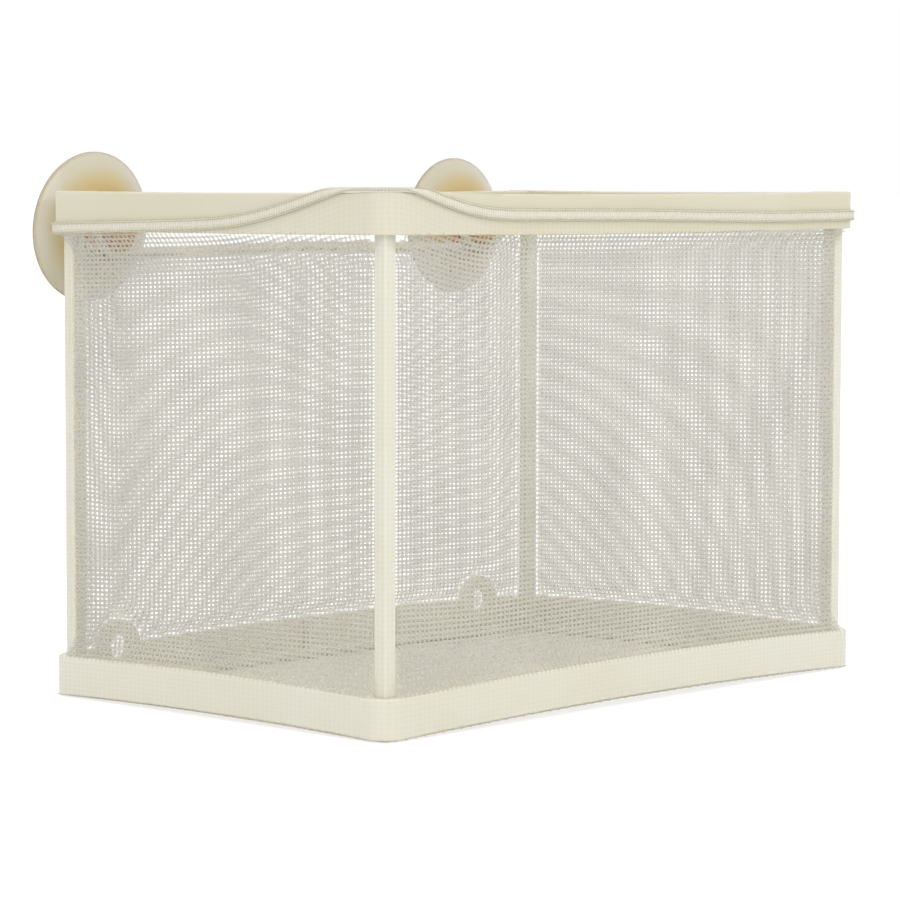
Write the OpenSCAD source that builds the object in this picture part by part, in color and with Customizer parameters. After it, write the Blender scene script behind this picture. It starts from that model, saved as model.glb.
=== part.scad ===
// Net fish breeding box: two identical moulded frames joined by four posts,
// a fine net bag pulled over the outside, and two suction cups that clip
// into eyes on the back. Millimetres, +Z up, the suction cup side towards +Y.
// The origin is on the surface it stands on, at the middle of the frames.

/* [Overall] */
// Length of the moulded frames, outside
frame_l = 172; // [150:1:240]
// Depth of the moulded frames, outside
frame_d = 111; // [90:1:160]
// Height from the underside of the net to the top face of the upper frame
box_h = 120; // [90:1:200]

/* [Frame section] */
// Height of the frame wall
rim_h = 9.2; // [8:0.1:12]
// Thickness of the frame wall
wall_t = 2; // [1.6:0.1:2.6]
// Width of the flange beyond the wall
flange_w = 6; // [4:0.5:8]
// Thickness of the flange
flange_t = 1.8; // [1.2:0.1:2.4]
// Outside radius of the frame corners
corner_r = 5.5; // [4.5:0.1:6.5]
// Rounding of the moulded edges
edge_r = 0.4; // [0.2:0.05:0.55]

/* [Bow under the pull of the net] */
// Rise at the middle of the bottom frame's long rails
bottom_bow_long = 1.5; // [0.2:0.1:3]
// Rise at the middle of the bottom frame's short rails
bottom_bow_short = 0.9; // [0.2:0.1:2]
// Sag at the middle of the top frame's long rails
top_bow_long = 0.5; // [0.2:0.1:1]
// Sag at the middle of the top frame's short rails
top_bow_short = 0.2; // [0.1:0.1:1]

/* [Corner posts] */
// Width of a square post
post_w = 3.5; // [3:0.1:4.5]
// Rounding of a post's long edges
post_edge_r = 0.4; // [0.2:0.05:0.6]
// Distance from the frame's outside faces to a post
post_inset = 2.9; // [2.7:0.1:3.4]
// Wall of the corner socket on the inner sides of a post
socket_wall = 2; // [1.4:0.1:3]
// Clearance between a post and its socket, on each side
post_clear = 0.1; // [0.05:0.05:0.2]

/* [Suction cup eyes] */
// Distance from a frame's end to the middle of the nearer eye
eye_inset = 21; // [16:0.5:40]
// Height of an eye's hole above the flange face of its frame
eye_z = 9.4; // [8.5:0.1:11]
// Outside radius of an eye
eye_r = 6.5; // [5.5:0.1:7.5]
// Diameter of an eye's hole
eye_hole_d = 6.2; // [5:0.1:7]

/* [Divider rib] */
// Width of the rib at the middle of the back rail
rib_w = 4; // [2:0.5:8]
// How far the rib stands out from the wall
rib_out = 1.8; // [1:0.1:3]

/* [Net bag] */
// Thickness of the net
net_t = 0.4; // [0.3:0.05:0.6]
// Clearance between the net and the frames and posts
net_gap = 0.1; // [0.05:0.05:0.2]
// Height over which the net runs from a frame in to the posts
flare_h = 4.5; // [3:0.5:8]

/* [Openings of the net] */
// Openings across a long side, where each stands for many small meshes
mesh_cols_long = 12; // [4:2:12]
// Openings across a short side
mesh_cols_short = 8; // [4:2:12]
// Rows of openings up a side
mesh_rows = 8; // [4:2:12]
// Net left between two openings
mesh_bar = 2.6; // [1.5:0.1:4]
// Net left whole round the openings, inside the posts and frames
mesh_edge = 2.5; // [1:0.1:5]

/* [Hem at the mouth of the bag] */
// Width of the hem
hem_w = 2.7; // [2.4:0.1:4]
// Thickness of the hem
hem_t = 1.2; // [1.1:0.05:1.4]
// How far the hem lies in over the top face at the front left corner
hem_over = 1.8; // [1.2:0.1:3]
// Length of the hem that lies over the top face, along the front
hem_over_front = 12; // [8:0.5:14]
// Length of the hem that lies over the top face, along the left side
hem_over_left = 16; // [10:0.5:18]
// Gap between the hem and the collars of the suction cups above it
hem_collar_gap = 0.3; // [0.2:0.05:1]
// Side of the elastic's square section
elastic_w = 0.5; // [0.4:0.05:0.6]
// Clearance round the elastic in the hem
elastic_clear = 0.1; // [0.05:0.05:0.15]

/* [Height of the hem] */
// Distance of the hem's lower edge below the top face, front middle
hem_front_mid = 6.7; // [5:0.1:8]
// The same where it is lowest on the front
hem_front_low = 7.5; // [5:0.1:9]
// Distance of that lowest place from the frame's right end
hem_front_low_at = 36; // [20:1:60]
// Distance of the hem's lower edge below the top face, front right corner
hem_front_right = 7.2; // [5:0.1:9]
// The same at the back right corner
hem_back_right = 9.4; // [6:0.1:11]
// The same at the back left corner
hem_back_left = 10.1; // [8:0.1:12]
// How much higher the hem is between the suction cups than under them
hem_back_rise = 1.1; // [0:0.1:3]

/* [Climb of the hem at the front left corner] */
// Distance from the rounded corner at which the climb starts, on the front
climb_from_front = 2.5; // [1.5:0.5:5]
// Length of the climb along the front
climb_run_front = 32; // [20:1:40]
// Distance of the hem's lower edge below the top face at the foot of that climb
climb_drop_front = 6.4; // [5:0.1:8]
// Distance from the rounded corner at which the climb starts, on the left side
climb_from_left = 7.5; // [3:0.5:12]
// Length of the climb along the left side
climb_run_left = 47; // [30:1:55]
// Distance of the hem's lower edge below the top face at the foot of that climb
climb_drop_left = 8.9; // [7:0.1:10]

/* [Suction cups] */
// Diameter of a cup at its rim
cup_d = 36; // [30:0.5:40]
// Distance from the eye's outer face to the rim
cup_depth = 8.3; // [7.5:0.1:10]
// Distance from the eye's outer face to the crown of the cup
crown_y = 1.8; // [1.7:0.1:2.4]
// Thickness of the cup at its crown
crown_t = 2.5; // [2:0.1:3]
// Thickness of the cup's outer edge
rim_edge = 0.7; // [0.5:0.05:1]
// Diameter of the collar behind the eye
collar_d = 8.4; // [7.6:0.1:9]
// Radius of the rounded head inside the frame
head_r = 5.2; // [4.8:0.1:5.8]
// Length of the head
head_h = 4.1; // [3:0.1:5]
// Straight part of the head
head_edge = 0.8; // [0.4:0.1:1.5]
// Radial clearance between the neck and the eye
neck_clear = 0.05; // [0.03:0.01:0.1]
// Clearance along the neck on each side of the eye
neck_gap = 0.15; // [0.1:0.05:0.3]

/* [Hidden] */

$fn = 96;
// Sides of a full circle for the very large arcs of the bows
bow_fn = 7200;
// Sides of a full circle for the rounded edges of a bowed rail
edge_fn = 32;
// How far a cutting shape runs past the face that it cuts
past = 1;
// Length over which the hem runs level beside a corner
hem_level = 1;
// Straight pieces in the curve of the hem's climb
climb_steps = 4;
// Step up from a corner block to the end of a bowed rail
rail_step = 0.05;

ivory = [0.87, 0.86, 0.79];
post_ivory = [0.89, 0.87, 0.81];
net_white = [0.93, 0.92, 0.88, 0.55];
hem_white = [0.91, 0.89, 0.82];
elastic_white = [0.95, 0.95, 0.93];
amber_vinyl = [0.80, 0.71, 0.48, 0.8];

half_l = frame_l / 2;
half_d = frame_d / 2;
// Half lengths of the straight rails between the corner arcs
run_l = half_l - corner_r;
run_d = half_d - corner_r;
// Where a post and its socket end, in from the outside faces
post_mid = post_inset + post_w / 2;
post_far = post_inset + post_w + post_clear;
socket_far = post_far + socket_wall;
// From the frame's faces to the outside of the net
net_out = net_gap + net_t;
eye_x = half_l - eye_inset;
// An eye's faces stand proud of the wall by the gap that the net keeps
eye_proud = net_gap;
eye_t = wall_t + 2 * eye_proud;
neck_r = eye_hole_d / 2 - neck_clear;
cup_r = cup_d / 2;
collar_r = collar_d / 2;

// Radius of an arc that rises by rise over a chord of the given half length
function arc_radius(half_chord, rise) = (half_chord * half_chord + rise * rise) / (2 * rise);

// ---- flat outlines -------------------------------------------------------

// Rectangle with rounded corners, centred
module rounded_rect(l, d, r) {
  square([l - 2 * r, d], center = true);
  square([l, d - 2 * r], center = true);
  for (x = [-1, 1], y = [-1, 1])
    translate([x * (l / 2 - r), y * (d / 2 - r)]) circle(r = r);
}

// Outline of the frame, grown outwards by grow, or cut back where it is negative
module frame_outline(grow) {
  rounded_rect(frame_l + 2 * grow, frame_d + 2 * grow, corner_r + grow);
}

// ---- moulded frame -------------------------------------------------------

// Section of a rail: X is the distance in from the outside face, Y the height
module rail_section() {
  translate([wall_t / 2, rim_h / 2]) rounded_rect(wall_t, rim_h, edge_r);
  translate([(wall_t + flange_w) / 2, flange_t / 2])
    rounded_rect(wall_t + flange_w, flange_t, edge_r);
}

// A rail along X that bows up, its outside face at Y = 0 and its inside to -Y
module rail(half_run, bow) {
  r = arc_radius(half_run, bow);
  sweep = 2 * asin((half_run + past) / r);
  width = wall_t + flange_w;
  intersection() {
    translate([0, 0, bow + rail_step - r])
      rotate([90, 0, 0])
        rotate([0, 0, 90 - sweep / 2])
          rotate_extrude(angle = sweep, $fn = bow_fn)
            translate([r, 0]) mirror([1, -1]) rail_section($fn = edge_fn);
    translate([-half_run, -width - past, -past])
      cube([2 * half_run, width + 2 * past, rim_h + bow + 2 * past]);
  }
}

// Rail section turned round a corner, its outside faces on X = 0 and Y = 0
module corner_rail() {
  translate([-corner_r, -corner_r, 0])
    rotate_extrude(angle = 90)
      intersection() {
        translate([corner_r, 0]) mirror([1, 0]) rail_section();
        square([corner_r, rim_h]);
      }
}

// Repeats on all four corners what is drawn with its outside corner at 0, 0
module at_corners() {
  for (x = [0, 1], y = [0, 1])
    mirror([x, 0, 0]) mirror([0, y, 0]) translate([half_l, half_d, 0]) children();
}

// Solid corner blocks round the sockets, set in from the rounded outside edge
module socket_blocks() {
  linear_extrude(rim_h)
    intersection() {
      frame_outline(-wall_t / 2);
      at_corners() translate([-socket_far, -socket_far]) square(socket_far);
    }
}

// Square hole that a post drops into, down to the flange
module socket_hole() {
  translate([-post_far, -post_far, flange_t])
    cube([post_w + 2 * post_clear, post_w + 2 * post_clear, rim_h]);
}

// Cylinder along Y at both eyes of a frame, from y0 out to y1
module at_eyes(r, y0, y1) {
  for (x = [-eye_x, eye_x])
    translate([x, y1, eye_z]) rotate([90, 0, 0]) cylinder(h = y1 - y0, r = r);
}

// The frame with its flange down and its eyes standing up at the back
module frame(bow_long, bow_short) {
  difference() {
    union() {
      for (y = [0, 1])
        mirror([0, y, 0]) translate([0, half_d, 0]) rail(run_l, bow_long);
      for (x = [0, 1])
        mirror([x, 0, 0]) translate([half_l, 0, 0]) rotate([0, 0, -90]) rail(run_d, bow_short);
      at_corners() corner_rail();
      socket_blocks();
      at_eyes(eye_r, half_d - wall_t - eye_proud, half_d + eye_proud);
      translate([-rib_w / 2, half_d - wall_t - rib_out, bow_long + flange_t / 2])
        cube([rib_w, rib_out + wall_t / 2, rim_h - flange_t / 2 - 2 * edge_r]);
    }
    at_corners() socket_hole();
    at_eyes(eye_hole_d / 2, half_d - wall_t - past, half_d + past);
  }
}

module bottom_frame() {
  color(ivory) translate([0, 0, net_out]) frame(bottom_bow_long, bottom_bow_short);
}

// The same moulding turned over
module top_frame() {
  color(ivory)
    translate([0, 0, box_h]) rotate([0, 180, 0]) frame(top_bow_long, top_bow_short);
}

// ---- posts ---------------------------------------------------------------

module post(x_side, y_side) {
  color(post_ivory)
    translate([x_side * (half_l - post_mid), y_side * (half_d - post_mid), net_out + flange_t])
      linear_extrude(box_h - net_out - 2 * flange_t)
        rounded_rect(post_w, post_w, post_edge_r);
}

module front_left_post() { post(-1, -1); }
module front_right_post() { post(1, -1); }
module back_left_post() { post(-1, 1); }
module back_right_post() { post(1, 1); }

// ---- line of the hem -----------------------------------------------------

// Each side has a list of [distance from its middle, drop of the hem's lower
// edge below the top face], from corner to corner along +X or +Y. The hem has
// ridden up over the top face at the front left corner, and runs below the
// necks of the suction cups at the back.
hem_on_top = -net_gap;
hem_under_neck = eye_z + collar_r + hem_collar_gap + hem_w;
hem_front = hem_line(run_l, hem_on_top, concat(
  climb(climb_from_front - run_l, climb_run_front, climb_drop_front),
  [[0, hem_front_mid], [half_l - hem_front_low_at, hem_front_low]]
), hem_front_right);
hem_left = hem_line(run_d, hem_on_top,
  climb(climb_from_left - run_d, climb_run_left, climb_drop_left), hem_back_left);
hem_right = hem_line(run_d, hem_front_right, [], hem_back_right);
hem_back = hem_line(run_l, hem_back_left, [
  [-eye_x - collar_r, hem_under_neck], [-eye_x + collar_r, hem_under_neck],
  [0, hem_under_neck - hem_back_rise],
  [eye_x - collar_r, hem_under_neck], [eye_x + collar_r, hem_under_neck]
], hem_back_right);

// A side's line: level by its two corners, with the given points between them
function hem_line(run, first, between, last) = concat(
  [[-run, first], [hem_level - run, first]], between, [[run - hem_level, last], [run, last]]
);

// The hem's way down from the top face: a quarter sine over run, down to drop
function climb(from, run, drop) = [
  for (i = [0 : climb_steps])
    [from + run * i / climb_steps, hem_on_top + (drop - hem_on_top) * sin(90 * i / climb_steps)]
];

// Height of the hem's two edges at a drop; it never rises past its own
// thickness over the top face
function lower_edge(drop) = -drop;
function upper_edge(drop) = min(hem_w - drop, net_gap + hem_t);
function hem_mid(drop) = (lower_edge(drop) + upper_edge(drop)) / 2;
function hem_half(drop) = (upper_edge(drop) - lower_edge(drop)) / 2;
// Half height of a band: the hem's own where none is given
function band_half(drop, half) = half > 0 ? half : hem_half(drop);

// Strip along a hem line: the whole hem, or 2 x half high about its middle
module hem_strip(line, half) {
  polygon(concat(
    [for (p = line) [p[0], hem_mid(p[1]) + band_half(p[1], half)]],
    [for (i = [len(line) - 1 : -1 : 0])
      [line[i][0], hem_mid(line[i][1]) - band_half(line[i][1], half)]]
  ));
}

// Everything on a side below the hem, down to the floor of the net
module below_hem(line) {
  first = line[0];
  last = line[len(line) - 1];
  over = corner_r + net_out + past;
  polygon(concat(
    [[first[0] - over, net_t - box_h], [first[0] - over, lower_edge(first[1])]],
    [for (p = line) [p[0], lower_edge(p[1])]],
    [[last[0] + over, lower_edge(last[1])], [last[0] + over, net_t - box_h]]
  ));
}

// Stands a flat drawing up on a side of the frame: X runs along the side from
// its middle and Y up from the top face. It reaches from out, measured outwards
// from the frame's face, over the thickness t.
module on_front(out, t) {
  translate([0, -half_d - out, box_h]) rotate([90, 0, 0]) linear_extrude(t) children();
}
module on_back(out, t) {
  translate([0, half_d + out + t, box_h]) rotate([90, 0, 0]) linear_extrude(t) children();
}
module on_left(out, t) {
  translate([-half_l - out - t, 0, box_h]) rotate([90, 0, 90]) linear_extrude(t) children();
}
module on_right(out, t) {
  translate([half_l + out, 0, box_h]) rotate([90, 0, 90]) linear_extrude(t) children();
}

// Part of a band that turns a corner and laps over the level ends of its sides:
// x is 1 at the left corners and y is 1 at the front ones
module corner_band(x, y, drop, out, t, half) {
  h = band_half(drop, half);
  translate([0, 0, box_h + hem_mid(drop) - h])
    linear_extrude(2 * h)
      intersection() {
        difference() {
          frame_outline(out + t);
          frame_outline(out);
        }
        mirror([x, 0]) mirror([0, y])
          translate([run_l - hem_level, run_d - hem_level])
            square(hem_level + corner_r + out + t + past);
      }
}

// A band round the mouth, out from the frame by out and t thick
module hem_loop(out, t, half) {
  on_front(out, t) hem_strip(hem_front, half);
  on_back(out, t) hem_strip(hem_back, half);
  on_left(out, t) hem_strip(hem_left, half);
  on_right(out, t) hem_strip(hem_right, half);
  corner_band(1, 1, hem_on_top, out, t, half);
  corner_band(0, 1, hem_front_right, out, t, half);
  corner_band(0, 0, hem_back_right, out, t, half);
  corner_band(1, 0, hem_back_left, out, t, half);
}

// The stretch that lies on the top face at the front left corner
module hem_over_top() {
  out = net_gap + hem_t;
  translate([0, 0, box_h + net_gap])
    linear_extrude(hem_t)
      intersection() {
        difference() {
          frame_outline(out);
          frame_outline(-hem_over);
        }
        translate([-half_l - out, -half_d - out])
          square([hem_over_front + out, hem_over_left + out]);
      }
}

module net_hem() {
  channel = elastic_w + 2 * elastic_clear;
  color(hem_white)
    difference() {
      union() {
        hem_loop(net_gap, hem_t, 0);
        hem_over_top();
      }
      hem_loop(net_gap + (hem_t - channel) / 2, channel, channel / 2);
    }
}

module hem_elastic() {
  color(elastic_white)
    hem_loop(net_gap + (hem_t - elastic_w) / 2, elastic_w, elastic_w / 2);
}

// ---- net -----------------------------------------------------------------

// The bag runs straight up past each frame, then in to the plane of the posts
bag_low_long = net_out + rim_h + bottom_bow_long + net_gap;
bag_low_short = net_out + rim_h + bottom_bow_short + net_gap;
bag_high_front = box_h - rim_h - top_bow_long - net_gap;
bag_high_back = box_h - hem_under_neck;
bag_high_side = box_h - rim_h - top_bow_short - net_gap;

// Where the openings of the walls start, above the slant and the ear pockets
mesh_low = mesh_edge + max(bag_low_long + flare_h, 2 * net_out + eye_z + eye_r);

// Upright section of the bag: half is half its width at the frames, high_a
// and high_b where the sides at -X and +X leave the upper frame
module bag_section(half, low, high_a, high_b, grow) {
  wide = half + grow;
  narrow = half - post_inset + grow;
  polygon([
    [wide, -past], [wide, low], [narrow, low + flare_h], [narrow, high_b - flare_h],
    [wide, high_b], [wide, box_h + past], [-wide, box_h + past], [-wide, high_a],
    [-narrow, high_a - flare_h], [-narrow, low + flare_h], [-wide, low], [-wide, -past]
  ]);
}

// What the bag encloses, grown outwards by grow, with its pockets over the
// spare eyes of the bottom frame
module bag_solid(grow) {
  reach = frame_l + frame_d;
  intersection() {
    rotate([90, 0, 90])
      linear_extrude(reach, center = true)
        bag_section(half_d, bag_low_long, bag_high_front, bag_high_back, grow);
    rotate([90, 0, 0])
      linear_extrude(reach, center = true)
        bag_section(half_l, bag_low_short, bag_high_side, bag_high_side, grow);
    translate([0, 0, -past]) linear_extrude(box_h + 2 * past) frame_outline(grow);
  }
  translate([0, 0, net_out])
    at_eyes(eye_r + grow, half_d - post_inset - wall_t, half_d + grow);
}

// The whole net wall, before it is parted at its corner seams
module net_wall() {
  difference() {
    bag_solid(net_out);
    bag_solid(net_gap);
  }
}

// Plain grid of openings, across from -run to run and up from low to high
module mesh_grid(cols, rows, run, low, high) {
  step = 2 * run / cols;
  rise = (high - low) / rows;
  for (i = [0 : cols - 1], k = [0 : rows - 1])
    translate([-run + i * step + mesh_bar / 2, low + k * rise + mesh_bar / 2])
      square([step - mesh_bar, rise - mesh_bar]);
}

// The grid through a wall that stands across Y outside the plane of the posts,
// half a side long to its corners, below the height where it leaves the frame
module wall_openings(cols, half, high) {
  translate([0, past, 0])
    rotate([90, 0, 0])
      linear_extrude(net_out + 2 * past)
        mesh_grid(cols, mesh_rows, half - post_far - mesh_edge, mesh_low,
          high - flare_h - mesh_edge);
}

// Footprint of one panel, between the mitres at its two corners. The outer
// edge lies at -Y, as on the front.
module panel_footprint(half_side, half_other) {
  over = net_out + past;
  translate([0, 0, -past])
    linear_extrude(box_h + 3 * past)
      polygon([
        [-half_side - over, -half_other - over], [half_side + over, -half_other - over],
        [half_side - half_other, 0], [half_other - half_side, 0]
      ]);
}

module net_front() {
  color(net_white)
    difference() {
      intersection() {
        net_wall();
        panel_footprint(half_l, half_d);
        on_front(-half_d, half_d + net_out + past) below_hem(hem_front);
      }
      translate([0, post_inset - half_d, 0])
        wall_openings(mesh_cols_long, half_l, bag_high_front);
    }
}

module net_back() {
  color(net_white)
    difference() {
      intersection() {
        net_wall();
        mirror([0, 1, 0]) panel_footprint(half_l, half_d);
        on_back(-half_d, half_d + net_out + past) below_hem(hem_back);
      }
      mirror([0, 1, 0])
        translate([0, post_inset - half_d, 0])
          wall_openings(mesh_cols_long, half_l, bag_high_back);
    }
}

// Footprint of a short panel: a triangle up to the mitres of the long ones
module end_footprint() {
  over = net_out + past;
  translate([0, 0, -past])
    linear_extrude(box_h + 3 * past)
      polygon([
        [-half_l - over, -half_d - over], [half_d - half_l, 0], [-half_l - over, half_d + over]
      ]);
}

// The grid through the wall at -X
module end_openings() {
  translate([post_inset - half_l, 0, 0])
    rotate([0, 0, -90]) wall_openings(mesh_cols_short, half_d, bag_high_side);
}

module net_left() {
  color(net_white)
    difference() {
      intersection() {
        net_wall();
        end_footprint();
        on_left(-half_d, half_d + net_out + past) below_hem(hem_left);
      }
      end_openings();
    }
}

module net_right() {
  color(net_white)
    difference() {
      intersection() {
        net_wall();
        mirror([1, 0, 0]) end_footprint();
        on_right(-half_d, half_d + net_out + past) below_hem(hem_right);
      }
      mirror([1, 0, 0]) end_openings();
    }
}

module net_floor() {
  margin = wall_t + flange_w + mesh_edge;
  color(net_white)
    linear_extrude(net_t)
      difference() {
        frame_outline(net_out);
        mesh_grid(mesh_cols_long, mesh_cols_short, half_l - margin, margin - half_d,
          half_d - margin);
      }
}

// ---- suction cups --------------------------------------------------------

// Half section of a cup: X is the radius, Y runs out from the eye's outer face
module cup_section() {
  head_y = -eye_t - neck_gap;
  hollow = cup_depth - crown_y - crown_t;
  dome_r = arc_radius(cup_r, cup_depth - rim_edge - crown_y);
  hollow_r = arc_radius(cup_r - rim_edge, hollow);
  ball_r = arc_radius(head_r, head_h - head_edge);
  // Neck through the eye
  translate([0, head_y - head_edge]) square([neck_r, crown_y - head_y + head_edge + crown_t / 2]);
  // Collar against the eye's outer face
  translate([0, neck_gap]) square([collar_r, crown_y - neck_gap + crown_t / 2]);
  // Rounded head on the inner side
  intersection() {
    translate([0, head_y - head_h]) square([head_r, head_h]);
    translate([0, head_y - head_h + ball_r]) circle(r = ball_r);
  }
  // Dished cup
  difference() {
    intersection() {
      translate([0, crown_y]) square([cup_r, cup_depth - crown_y]);
      translate([0, crown_y + dome_r]) circle(r = dome_r);
    }
    translate([0, crown_y + crown_t + hollow_r]) circle(r = hollow_r);
  }
}

module suction_cup(side) {
  color(amber_vinyl)
    translate([side * eye_x, half_d + eye_proud, box_h - eye_z])
      rotate([-90, 0, 0]) rotate_extrude() cup_section();
}

module left_suction_cup() { suction_cup(-1); }
module right_suction_cup() { suction_cup(1); }

top_frame();
bottom_frame();
front_left_post();
front_right_post();
back_left_post();
back_right_post();
net_front();
net_back();
net_left();
net_right();
net_floor();
net_hem();
hem_elastic();
left_suction_cup();
right_suction_cup();
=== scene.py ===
"""Looks of a net fish breeding box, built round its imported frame.

The two moulded frames and the four posts keep their solids and get finishes. The net bag, its
hem and the suction cups are modelled here as real threads, folded net and turned soft vinyl.
Lengths are in millimetres until a mesh is made, when MM turns them to metres.
"""

import logging
import math
from dataclasses import dataclass
from enum import Enum
from typing import Callable, Mapping, Optional, Sequence

import bmesh
import bpy
import numpy as np
from bmesh.types import BMesh, BMFace, BMVert
from bpy.types import Material, Mesh, Node, NodeSocket, NodeTree, Object
from mathutils import Matrix, Vector


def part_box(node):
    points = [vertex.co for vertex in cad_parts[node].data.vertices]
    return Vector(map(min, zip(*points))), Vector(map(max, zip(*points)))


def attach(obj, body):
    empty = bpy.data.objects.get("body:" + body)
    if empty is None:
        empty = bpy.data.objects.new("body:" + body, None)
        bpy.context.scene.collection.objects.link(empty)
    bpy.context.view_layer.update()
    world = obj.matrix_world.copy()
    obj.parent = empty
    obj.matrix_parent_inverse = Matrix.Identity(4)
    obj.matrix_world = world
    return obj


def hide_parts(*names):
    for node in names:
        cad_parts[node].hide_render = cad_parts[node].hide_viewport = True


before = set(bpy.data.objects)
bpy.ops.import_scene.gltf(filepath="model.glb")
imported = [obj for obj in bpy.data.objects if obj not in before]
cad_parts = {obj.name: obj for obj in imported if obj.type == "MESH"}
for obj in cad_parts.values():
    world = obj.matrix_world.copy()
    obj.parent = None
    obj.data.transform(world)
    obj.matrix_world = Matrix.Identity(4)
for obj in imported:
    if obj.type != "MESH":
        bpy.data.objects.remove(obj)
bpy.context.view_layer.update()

LOG = logging.getLogger("breeding_box")
MM = 0.001
HAIR = 1e-6  # a share or a length too small to matter
BASKET = "basket"


# ---- colour and node tools ------------------------------------------------------------------


def srgb(code: str) -> tuple[float, float, float, float]:
    """Turn an sRGB hex colour into the linear colour that a shader wants.

    Args:
        code: six hex digits, such as "e4e1d2".

    Returns:
        Linear red, green and blue, and an alpha of 1.
    """
    parts = [int(code[i:i + 2], 16) / 255 for i in (0, 2, 4)]
    linear = [p / 12.92 if p <= 0.04045 else ((p + 0.055) / 1.055) ** 2.4 for p in parts]
    return (*linear, 1.0)


def add_node(
    tree: NodeTree,
    kind: str,
    values: Optional[Mapping] = None,
    links: Optional[Mapping] = None,
    **settings,
) -> Node:
    """Add a node with its settings, socket values and incoming links.

    Args:
        tree: the node tree.
        kind: the node's type name.
        values: input name or number to its value.
        links: input name or number to the output socket that feeds it.
        settings: the node's own properties.

    Returns:
        The new node.
    """
    node = tree.nodes.new(kind)
    for name, value in settings.items():
        setattr(node, name, value)
    for key, value in (values or {}).items():
        node.inputs[key].default_value = value
    for key, socket in (links or {}).items():
        tree.links.new(socket, node.inputs[key])
    return node


def ramp(tree: NodeTree, factor: NodeSocket, stops: Sequence[tuple[float, str]]) -> NodeSocket:
    """Colour ramp from hex colours.

    Args:
        tree: the node tree.
        factor: the socket that drives the ramp.
        stops: (position, hex colour) from low to high.

    Returns:
        The ramp's colour output.
    """
    node = add_node(tree, "ShaderNodeValToRGB", links={"Fac": factor})
    elements = node.color_ramp.elements
    while len(elements) < len(stops):
        elements.new(0.5)
    for element, (position, code) in zip(elements, stops):
        element.position = position
        element.color = srgb(code)
    return node.outputs["Color"]


def noise(tree: NodeTree, size_mm: float, detail: float = 2.0) -> NodeSocket:
    """Soft noise through the object.

    Args:
        tree: the node tree.
        size_mm: real size of its patches.
        detail: how many finer layers it has.

    Returns:
        The noise's factor output.
    """
    place = add_node(tree, "ShaderNodeTexCoord").outputs["Object"]
    return add_node(
        tree, "ShaderNodeTexNoise", {"Scale": 1 / (size_mm * MM), "Detail": detail},
        {"Vector": place}).outputs["Fac"]


def bump(tree: NodeTree, height: NodeSocket, strength: float, depth_mm: float) -> NodeSocket:
    """Small unevenness of a surface.

    Args:
        tree: the node tree.
        height: the socket that gives the height, from 0 to 1.
        strength: how much of it shows.
        depth_mm: real depth at full strength.

    Returns:
        The bump's normal output.
    """
    return add_node(
        tree, "ShaderNodeBump", {"Strength": strength, "Distance": depth_mm * MM},
        {"Height": height}).outputs["Normal"]


# ---- finishes -------------------------------------------------------------------------------


@dataclass(frozen=True)
class Finish:
    """A node material, named for what the real piece is made of."""

    name: str

    def surface(self, tree: NodeTree) -> Node:
        """Add the surface's nodes and give the last of them."""
        raise NotImplementedError

    def build(self) -> Material:
        """Make the material."""
        material = bpy.data.materials.new(self.name)
        material.use_nodes = True
        tree = material.node_tree
        tree.nodes.clear()
        output = add_node(tree, "ShaderNodeOutputMaterial")
        tree.links.new(self.surface(tree).outputs[0], output.inputs["Surface"])
        return material


@dataclass(frozen=True)
class MouldedStyrene(Finish):
    """Ivory injection-moulded styrene: milky, slightly yellowed, with a soft tool-made sheen."""

    name: str = "moulded_styrene_ivory"
    pale: str = "e8e6d9"
    yellowed: str = "e4e0cc"
    cloud_mm: float = 45.0
    grain_mm: float = 0.5
    grain_depth_mm: float = 0.03
    roughness: tuple[float, float] = (0.27, 0.39)

    def surface(self, tree: NodeTree) -> Node:
        """Broad yellowed clouds under a fine grain."""
        grain = noise(tree, self.grain_mm, 4.0)
        colour = ramp(
            tree, noise(tree, self.cloud_mm, 3.0), [(0.3, self.yellowed), (0.7, self.pale)])
        rough = add_node(
            tree, "ShaderNodeMapRange",
            {"From Min": 0.3, "From Max": 0.7, "To Min": self.roughness[0],
             "To Max": self.roughness[1]},
            {"Value": grain})
        return add_node(
            tree, "ShaderNodeBsdfPrincipled",
            {"IOR": 1.57, "Subsurface Weight": 0.25, "Subsurface Scale": 1.5 * MM,
             "Subsurface Radius": (1.0, 0.85, 0.6)},
            {"Base Color": colour, "Roughness": rough.outputs["Result"],
             "Normal": bump(tree, grain, 0.12, self.grain_depth_mm)})


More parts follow.
